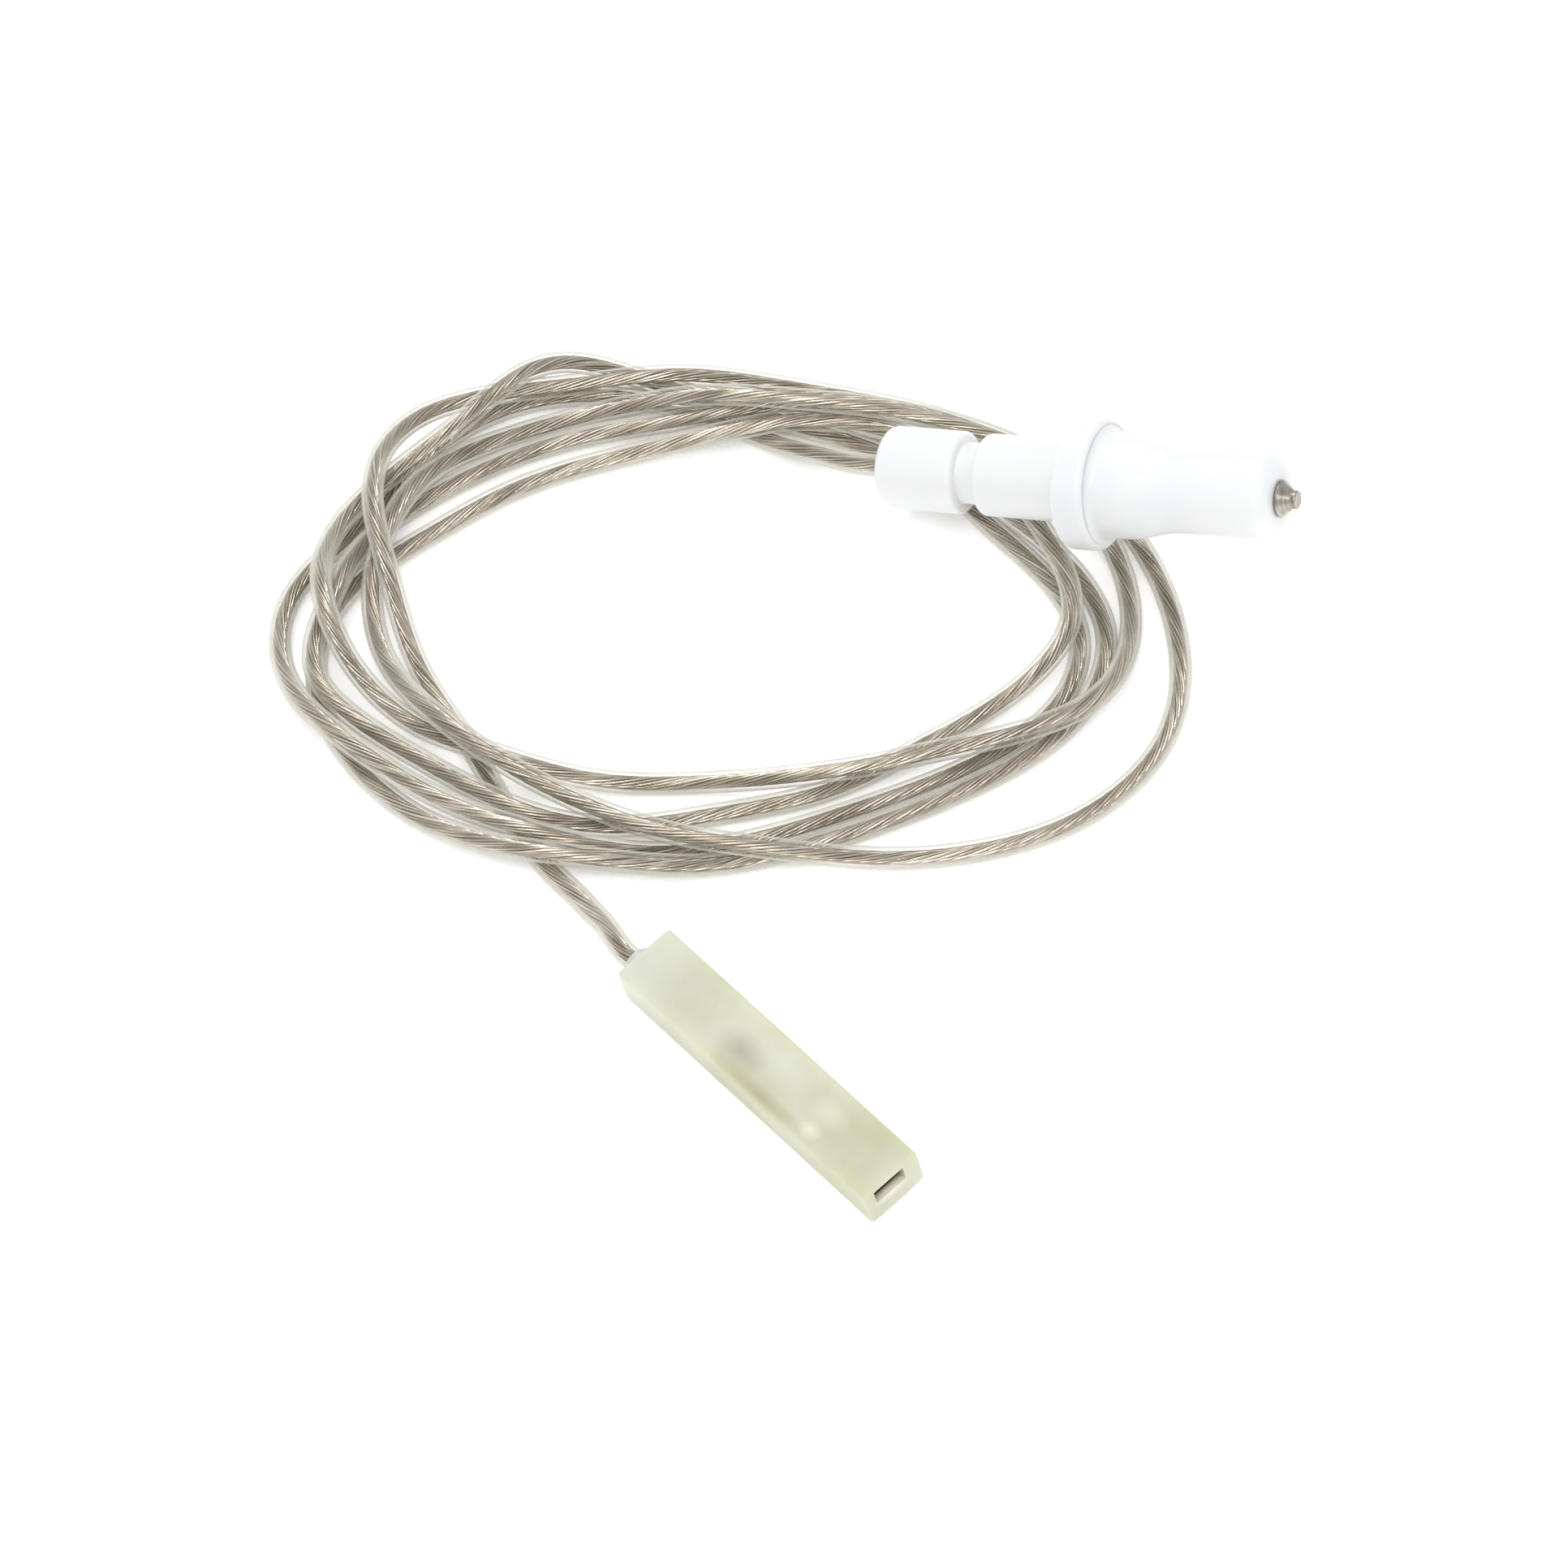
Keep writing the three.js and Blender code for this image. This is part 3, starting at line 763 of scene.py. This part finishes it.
def rectangle_ring(x, width, height, radius, y=0.0, z=0.0, steps=8):
    """Points of a rounded rectangle across the connector at x. A circle is one too."""
    points = []
    for corner in range(4):
        start = math.pi / 2 * corner
        side = 1 if corner in (0, 3) else -1
        rise = 1 if corner in (0, 1) else -1
        for step in range(steps + 1):
            angle = start + math.pi / 2 * step / steps
            points.append((
                x,
                y + side * (width / 2 - radius) + radius * math.cos(angle),
                z + rise * (height / 2 - radius) + radius * math.sin(angle),
            ))
    return points


def make_housing(material):
    """The hollow housing as one loft: from its mouth, over its outside to the entry boss, and
    back through the entry and the cavity to the mouth."""
    width, height, length = HOUSING["width"], HOUSING["height"], HOUSING["length"]
    edge, soft = HOUSING["edge"], 0.18
    # The soft edge round an end face, ring by ring: how far it is in from the sides (twice),
    # how far back from the face, and the radius of its corners.
    soft_edge = [
        (2 * soft, 0, edge - 0.6 * soft),
        (0.6 * soft, 0.3 * soft, edge),
        (0, soft, edge),
    ]
    cavity = (CAVITY["width"], CAVITY["height"], 0.3)
    cavity_end = CAVITY["end"] + 0.2  # the wall round the mouth is thinner than the CAD's
    mouth = (MOUTH["width"], MOUTH["high"] - MOUTH["low"], 0.15)
    mouth_at = {"y": MOUTH["y"], "z": (MOUTH["high"] + MOUTH["low"]) / 2}
    entry_at = {"y": ENTRY["y"], "z": ENTRY["z"]}
    boss_edge = 0.1

    def circle(x, radius):
        return rectangle_ring(x, 2 * radius, 2 * radius, radius, **entry_at)

    rings = [
        rectangle_ring(length, *mouth, **mouth_at),
        *(rectangle_ring(length - back, width - less, height - less, radius)
          for less, back, radius in soft_edge),
        *(rectangle_ring(back, width - less, height - less, radius)
          for less, back, radius in reversed(soft_edge)),
        circle(0, ENTRY["boss_radius"]),
        circle(-ENTRY["boss"] + boss_edge, ENTRY["boss_radius"]),
        circle(-ENTRY["boss"], ENTRY["boss_radius"] - boss_edge),
        circle(-ENTRY["boss"], ENTRY["radius"]),
        circle(CAVITY["start"], ENTRY["radius"]),
        rectangle_ring(CAVITY["start"], *cavity),
        rectangle_ring(cavity_end, *cavity),
        rectangle_ring(cavity_end, *mouth, **mouth_at),
    ]
    points = [point for ring in rings for point in ring]
    faces = ring_faces(len(rings), len(rings[0]), closed=True)
    return make_object("nylon_housing", points, faces, material, CONNECTOR)


# ---- the terminal, one stamped sheet folded into crimps and a receptacle ----
def resampled(line):
    """A folded sheet's middle line, as the same number of places for every section."""
    line = np.array(line)
    along = np.concatenate([[0], np.cumsum(np.linalg.norm(np.diff(line, axis=0), axis=1))])
    wanted = np.linspace(0, along[-1], SECTION_PLACES)
    return np.stack([np.interp(wanted, along, line[:, axis]) for axis in range(2)], axis=1)


def wrapped(radius, span, y, z):
    """A sheet bent round a wire through the span, in degrees, and open at the top."""
    angles = np.radians(np.linspace(-span / 2, span / 2, 60))
    return resampled([(y + radius * math.sin(a), z - radius * math.cos(a)) for a in angles])


def tray(half_width, wall, y, floor):
    """A flat strip with low side walls."""
    return resampled([
        (y - half_width, floor + wall),
        (y - half_width, floor),
        (y + half_width, floor),
        (y + half_width, floor + wall),
    ])


def rolled(half_width, height, curl, y, floor):
    """The receptacle: its two sides roll over inwards and back down onto the tab."""
    corner = [
        (half_width - curl + curl * math.sin(a), floor + curl - curl * math.cos(a))
        for a in np.linspace(0, math.pi / 2, 8)
    ]
    roll = [
        (half_width - curl + curl * math.cos(a), floor + height - curl + curl * math.sin(a))
        for a in np.linspace(0, math.pi * 1.25, 18)
    ]
    half = corner + roll
    left = [(-side, z) for side, z in half[::-1]]
    return resampled([(y + side, z) for side, z in left + half])


def between_stations(stations, spacing):
    """Sections at close places, each eased from one station's line to the next one's."""
    knots = [place for place, _ in stations]
    lines = [line for _, line in stations]
    sections = []
    for x in sorted({*knots, *np.arange(knots[0], knots[-1], spacing)}):
        span = min(int(np.searchsorted(knots, x, side="right")) - 1, len(knots) - 2)
        share = ease((x - knots[span]) / (knots[span + 1] - knots[span]))
        sections.append((x, lines[span] * (1 - share) + lines[span + 1] * share))
    return sections


def thickened(line):
    """The outline of a sheet that has the line as its middle."""
    along = np.gradient(line, axis=0)
    across = np.stack([-along[:, 1], along[:, 0]], axis=1)
    across *= TERMINAL_SHEET / 2 / np.linalg.norm(across, axis=1)[:, None]
    return np.concatenate([line + across, (line - across)[::-1]])


def strip_caps(rings):
    """The cut edges of the sheet at its two ends, as quads from one face to the other."""
    sides = 2 * SECTION_PLACES
    last = (rings - 1) * sides
    faces = []
    for place in range(SECTION_PLACES - 1):
        far = sides - 1 - place
        faces.append((place, place + 1, far - 1, far))
        faces.append((last + place, last + far, last + far - 1, last + place + 1))
    return faces


def make_terminal(material):
    """The terminal as a loft through its folded sections, which ease into each other."""
    wire = {"y": ENTRY["y"], "z": ENTRY["z"]}
    over = 0.17  # from what a crimp holds to the sheet's middle
    jacket_crimp = wrapped(LEAD_RADIUS + over, 290, **wire)
    wire_crimp = wrapped(CORE_RADIUS + over, 320, **wire)
    bridge = tray(0.75, 0.35, ENTRY["y"], BRIDGE_FLOOR)
    neck = tray(0.85, 0.5, MOUTH["y"], NECK_FLOOR)
    receptacle = rolled(1.85, 1.7, 0.5, MOUTH["y"], RECEPTACLE_FLOOR)
    stations = [
        (12.0, jacket_crimp), (15.8, jacket_crimp), (16.7, bridge), (17.4, bridge),
        (18.0, wire_crimp), (21.2, wire_crimp), (22.0, neck), (23.0, neck),
        (24.0, receptacle), (31.4, receptacle),
    ]
    sections = between_stations(stations, spacing=0.2)
    points = [(x, y, z) for x, line in sections for y, z in thickened(line)]
    faces = ring_faces(len(sections), 2 * SECTION_PLACES) + strip_caps(len(sections))
    return make_object("tab_receptacle", points, faces, material, CONNECTOR)


# ---- floor and light ----
def make_stage():
    """The floor, and an even white sky."""
    bpy.ops.mesh.primitive_plane_add(size=4, location=(0, 0, ORIGIN.z))
    floor = bpy.context.object
    floor.name = "floor"
    floor.data.materials.append(floor_material())
    world = bpy.data.worlds.new("studio")
    world.use_nodes = True
    sky = world.node_tree.nodes["Background"]
    sky.inputs["Color"].default_value = (1, 1, 1, 1)
    sky.inputs["Strength"].default_value = 0.8
    bpy.context.scene.world = world


def area_light(name, place, size, power):
    """A square lamp, in metres and watts, that faces the frame's origin."""
    data = bpy.data.lights.new(name, "AREA")
    data.size = size
    data.energy = power
    light = bpy.data.objects.new(name, data)
    light.location = place
    light.rotation_euler = (-Vector(place)).to_track_quat("-Z", "Y").to_euler()
    bpy.context.scene.collection.objects.link(light)


def make_lights():
    """A key light from behind the coil, a broad one in front, and a small one at the pin's side."""
    area_light("key_light", (-0.3, 0.3, 0.75), 0.16, 1.9)
    area_light("front_light", (0.05, -0.42, 0.75), 0.3, 2.1)
    area_light("side_light", (0.55, -0.2, 0.5), 0.08, 0.3)


# ---- assembly ----
make_camera()
bpy.context.scene.view_settings.view_transform = "Standard"

ROUTE = lead_route()
sheath, sheath_places = make_sheath(ROUTE, sheath_material())
wires = make_wires(ROUTE, wires_material())
insulator = make_ceramic(ceramic_material())
pin = make_pin(steel_material())
plug = make_cement(cement_material())
housing = make_housing(nylon_material())
terminal = make_terminal(brass_material())

REPLACED = [
    (sheath, "lead_jacket", ["lead_electrode_run", "lead_coil", "lead_connector_run",
                             "tail_jacket", "connector_jacket"]),
    (wires, "tinned_copper", ["tail_conductor", "connector_conductor"]),
    (insulator, "glazed_ceramic", ["ceramic_insulator"]),
    (pin, "pin_steel", ["electrode_pin"]),
    (plug, "cement", ["tail_cement"]),
    (housing, "nylon", ["connector_housing"]),
    (terminal, "terminal_brass", ["receptacle_terminal"]),
]
for piece, slot, nodes in REPLACED:
    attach(piece, "root")
    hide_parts(*nodes)

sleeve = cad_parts["crimp_sleeve"]
sleeve.data.materials.clear()
sleeve.data.materials.append(steel_material("sleeve_steel"))

make_stage()
make_lights()
